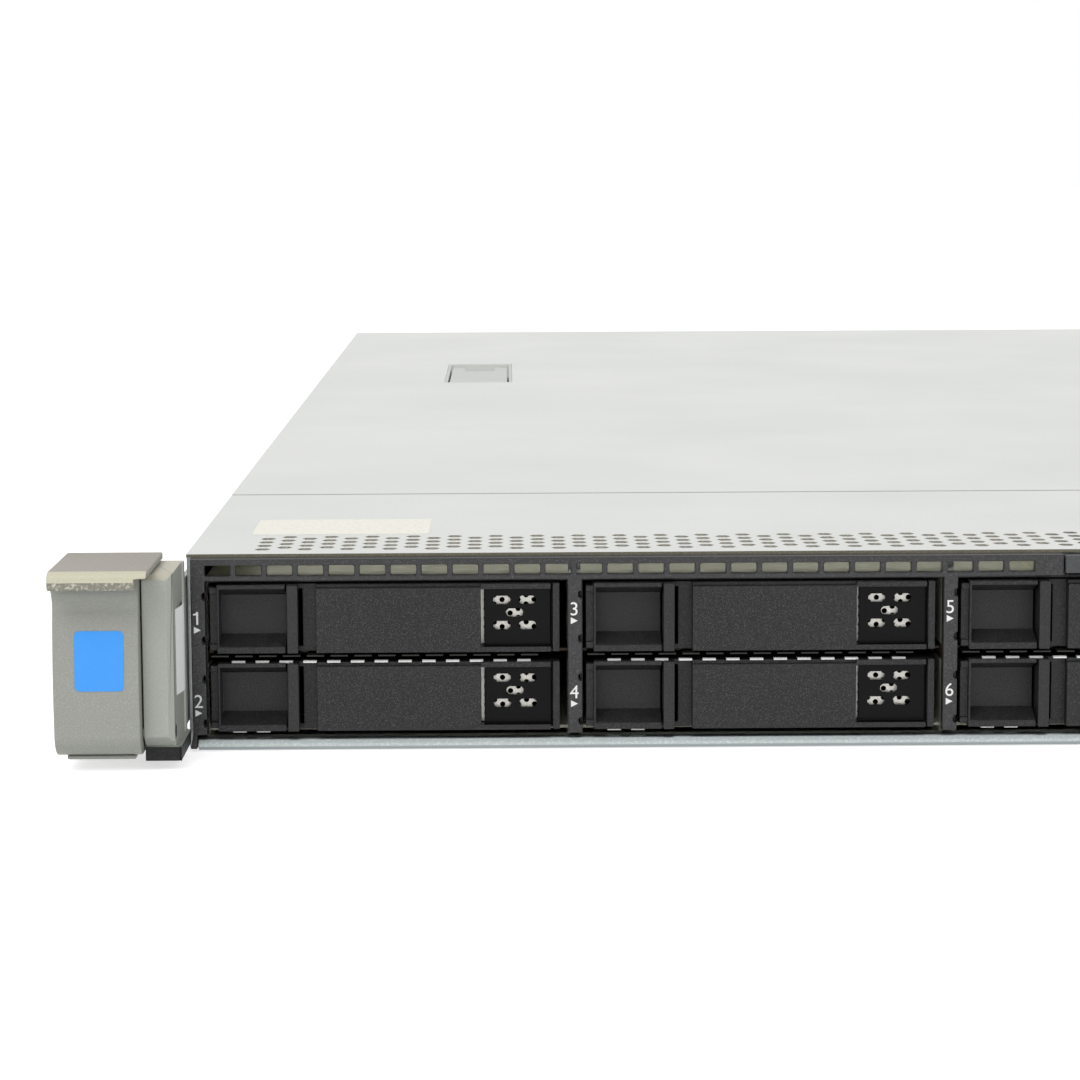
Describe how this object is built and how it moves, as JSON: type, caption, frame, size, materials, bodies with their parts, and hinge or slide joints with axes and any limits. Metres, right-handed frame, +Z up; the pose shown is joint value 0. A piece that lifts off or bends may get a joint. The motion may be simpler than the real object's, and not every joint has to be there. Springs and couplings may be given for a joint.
{
  "type": "1u rack server",
  "caption": "Thin rack server with a two-row bay front of dark drive blanks, pale zinc covers, sliding hood, quick-release ears and hot-plug power supplies.",
  "frame": {"origin": "middle of the tray's underside", "axes": "+X to the right seen from the front, +Y from the bays to the rear sockets, +Z up"},
  "size_m": [0.4854, 0.7516, 0.0442],
  "materials": {
    "zinc_cover": "pale zinc-plated sheet, satin",
    "zinc_sheet": "zinc-plated sheet, satin",
    "black_plastic": "fine-textured black moulding",
    "blank_plastic": "speckled dark grey moulding",
    "latch_plastic": "speckled dark grey moulding",
    "lever_paint": "warm grey speckled paint",
    "touch_plastic": "dark grey moulding",
    "button_plastic": "smooth grey moulding",
    "steel_pin": "turned steel",
    "socket_shell": "nickel-plated shell",
    "board": "green solder mask",
    "fan_plastic": "black moulding",
    "fins": "extruded aluminium",
    "supply_case": "zinc-plated case"
  },
  "bodies": {
    "chassis": {"air_baffle": "black_plastic", "chassis_tray": "zinc_sheet", "control_panel": "black_plastic", "drive_backplane": "board", "drive_cage": "zinc_sheet", "ear_bracket_left": "lever_paint", "ear_bracket_right": "lever_paint", "ear_pins": "steel_pin", "fan_frames": "fan_plastic", "front_frame": "black_plastic", "front_top_plate": "zinc_cover", "front_usb_socket": "socket_shell", "grounding_strips": "zinc_sheet", "heatsink_1": "fins", "heatsink_2": "fins", "memory_modules": "board", "network_module": "socket_shell", "rail_studs": "steel_pin", "rear_panel": "zinc_sheet", "rear_sockets": "socket_shell", "riser_cage": "zinc_sheet", "rivets_and_posts": "steel_pin", "slot_covers": "zinc_sheet", "system_board": "board"},
    "hood": {"hood": "zinc_cover", "hood_latch_cup": "black_plastic"},
    "hood_latch": {"hood_latch_lever": "touch_plastic"},
    "media_blank": {"media_bay_blank": "blank_plastic"},
    "serial_pull": {"serial_tab": "black_plastic"},
    "lever_left": {"ear_lever_left": "lever_paint"},
    "lever_right": {"ear_lever_right": "lever_paint"},
    "power_push": {"power_button": "button_plastic"},
    "uid_push": {"uid_button": "button_plastic"},
    "blank_1": {"drive_blank_1": "blank_plastic"},
    "latch_1": {"blank_latch_1": "latch_plastic"},
    "blank_2": {"drive_blank_2": "blank_plastic"},
    "latch_2": {"blank_latch_2": "latch_plastic"},
    "blank_3": {"drive_blank_3": "blank_plastic"},
    "latch_3": {"blank_latch_3": "latch_plastic"},
    "blank_4": {"drive_blank_4": "blank_plastic"},
    "latch_4": {"blank_latch_4": "latch_plastic"},
    "blank_5": {"drive_blank_5": "blank_plastic"},
    "latch_5": {"blank_latch_5": "latch_plastic"},
    "blank_6": {"drive_blank_6": "blank_plastic"},
    "latch_6": {"blank_latch_6": "latch_plastic"},
    "blank_7": {"drive_blank_7": "blank_plastic"},
    "latch_7": {"blank_latch_7": "latch_plastic"},
    "blank_8": {"drive_blank_8": "blank_plastic"},
    "latch_8": {"blank_latch_8": "latch_plastic"},
    "rotor_1": {"fan_rotor_1": "fan_plastic"},
    "rotor_2": {"fan_rotor_2": "fan_plastic"},
    "rotor_3": {"fan_rotor_3": "fan_plastic"},
    "rotor_4": {"fan_rotor_4": "fan_plastic"},
    "rotor_5": {"fan_rotor_5": "fan_plastic"},
    "rotor_6": {"fan_rotor_6": "fan_plastic"},
    "rotor_7": {"fan_rotor_7": "fan_plastic"},
    "supply_1": {"power_supply_1": "supply_case"},
    "catch_1": {"supply_catch_1": "touch_plastic"},
    "supply_2": {"power_supply_2": "supply_case"},
    "catch_2": {"supply_catch_2": "touch_plastic"}
  },
  "joints": [
    {"name": "hood_slide", "type": "slide", "parent": "chassis", "child": "hood", "axis": [0, 1, 0], "range_m": [0, 0.012]},
    {"name": "hood_latch_hinge", "type": "hinge", "parent": "hood", "child": "hood_latch", "pos_m": [-0.1582, 0.08435, 0.041], "axis": [1, 0, 0], "range_deg": [0, 80.5]},
    {"name": "media_blank_slide", "type": "slide", "parent": "chassis", "child": "media_blank", "axis": [0, -1, 0], "range_m": [0, 0.09]},
    {"name": "serial_tab_slide", "type": "slide", "parent": "chassis", "child": "serial_pull", "axis": [0, -1, 0], "range_m": [0, 0.036]},
    {"name": "power_press", "type": "slide", "parent": "chassis", "child": "power_push", "axis": [0, 1, 0], "range_m": [0, 0.0012], "stiffness_N_per_m": 400},
    {"name": "uid_press", "type": "slide", "parent": "chassis", "child": "uid_push", "axis": [0, 1, 0], "range_m": [0, 0.0012], "stiffness_N_per_m": 300},
    {"name": "ear_lever_left_hinge", "type": "hinge", "parent": "chassis", "child": "lever_left", "pos_m": [-0.2315, -0.36625, 0.0082], "axis": [1, 0, 0], "range_deg": [0, 80], "stiffness_Nm_per_rad": 0.03},
    {"name": "ear_lever_right_hinge", "type": "hinge", "parent": "chassis", "child": "lever_right", "pos_m": [0.2315, -0.36625, 0.0082], "axis": [1, 0, 0], "range_deg": [0, 80], "stiffness_Nm_per_rad": 0.03},
    {"name": "blank_1_slide", "type": "slide", "parent": "chassis", "child": "blank_1", "axis": [0, -1, 0], "range_m": [0, 0.09]},
    {"name": "blank_latch_1_press", "type": "slide", "parent": "blank_1", "child": "latch_1", "axis": [1, 0, 0], "range_m": [0, 0.002], "stiffness_N_per_m": 400},
    {"name": "blank_2_slide", "type": "slide", "parent": "chassis", "child": "blank_2", "axis": [0, -1, 0], "range_m": [0, 0.09]},
    {"name": "blank_latch_2_press", "type": "slide", "parent": "blank_2", "child": "latch_2", "axis": [1, 0, 0], "range_m": [0, 0.002], "stiffness_N_per_m": 400},
    {"name": "blank_3_slide", "type": "slide", "parent": "chassis", "child": "blank_3", "axis": [0, -1, 0], "range_m": [0, 0.09]},
    {"name": "blank_latch_3_press", "type": "slide", "parent": "blank_3", "child": "latch_3", "axis": [1, 0, 0], "range_m": [0, 0.002], "stiffness_N_per_m": 400},
    {"name": "blank_4_slide", "type": "slide", "parent": "chassis", "child": "blank_4", "axis": [0, -1, 0], "range_m": [0, 0.09]},
    {"name": "blank_latch_4_press", "type": "slide", "parent": "blank_4", "child": "latch_4", "axis": [1, 0, 0], "range_m": [0, 0.002], "stiffness_N_per_m": 400},
    {"name": "blank_5_slide", "type": "slide", "parent": "chassis", "child": "blank_5", "axis": [0, -1, 0], "range_m": [0, 0.09]},
    {"name": "blank_latch_5_press", "type": "slide", "parent": "blank_5", "child": "latch_5", "axis": [1, 0, 0], "range_m": [0, 0.002], "stiffness_N_per_m": 400},
    {"name": "blank_6_slide", "type": "slide", "parent": "chassis", "child": "blank_6", "axis": [0, -1, 0], "range_m": [0, 0.09]},
    {"name": "blank_latch_6_press", "type": "slide", "parent": "blank_6", "child": "latch_6", "axis": [1, 0, 0], "range_m": [0, 0.002], "stiffness_N_per_m": 400},
    {"name": "blank_7_slide", "type": "slide", "parent": "chassis", "child": "blank_7", "axis": [0, -1, 0], "range_m": [0, 0.09]},
    {"name": "blank_latch_7_press", "type": "slide", "parent": "blank_7", "child": "latch_7", "axis": [1, 0, 0], "range_m": [0, 0.002], "stiffness_N_per_m": 400},
    {"name": "blank_8_slide", "type": "slide", "parent": "chassis", "child": "blank_8", "axis": [0, -1, 0], "range_m": [0, 0.09]},
    {"name": "blank_latch_8_press", "type": "slide", "parent": "blank_8", "child": "latch_8", "axis": [1, 0, 0], "range_m": [0, 0.002], "stiffness_N_per_m": 400},
    {"name": "fan_1_spin", "type": "hinge", "parent": "chassis", "child": "rotor_1", "pos_m": [-0.174, -0.15755, 0.0212], "axis": [0, 1, 0], "continuous": true},
    {"name": "fan_2_spin", "type": "hinge", "parent": "chassis", "child": "rotor_2", "pos_m": [-0.116, -0.15755, 0.0212], "axis": [0, 1, 0], "continuous": true},
    {"name": "fan_3_spin", "type": "hinge", "parent": "chassis", "child": "rotor_3", "pos_m": [-0.058, -0.15755, 0.0212], "axis": [0, 1, 0], "continuous": true},
    {"name": "fan_4_spin", "type": "hinge", "parent": "chassis", "child": "rotor_4", "pos_m": [0, -0.15755, 0.0212], "axis": [0, 1, 0], "continuous": true},
    {"name": "fan_5_spin", "type": "hinge", "parent": "chassis", "child": "rotor_5", "pos_m": [0.058, -0.15755, 0.0212], "axis": [0, 1, 0], "continuous": true},
    {"name": "fan_6_spin", "type": "hinge", "parent": "chassis", "child": "rotor_6", "pos_m": [0.116, -0.15755, 0.0212], "axis": [0, 1, 0], "continuous": true},
    {"name": "fan_7_spin", "type": "hinge", "parent": "chassis", "child": "rotor_7", "pos_m": [0.174, -0.15755, 0.0212], "axis": [0, 1, 0], "continuous": true},
    {"name": "supply_1_slide", "type": "slide", "parent": "chassis", "child": "supply_1", "axis": [0, 1, 0], "range_m": [0, 0.15]},
    {"name": "supply_catch_1_press", "type": "slide", "parent": "supply_1", "child": "catch_1", "axis": [-1, 0, 0], "range_m": [0, 0.0025], "stiffness_N_per_m": 500},
    {"name": "supply_2_slide", "type": "slide", "parent": "chassis", "child": "supply_2", "axis": [0, 1, 0], "range_m": [0, 0.15]},
    {"name": "supply_catch_2_press", "type": "slide", "parent": "supply_2", "child": "catch_2", "axis": [-1, 0, 0], "range_m": [0, 0.0025], "stiffness_N_per_m": 500}
  ],
  "couplings": [
    {"joint": "hood_latch_hinge", "follows": "hood_slide", "rad_per_m": 116.36}
  ]
}
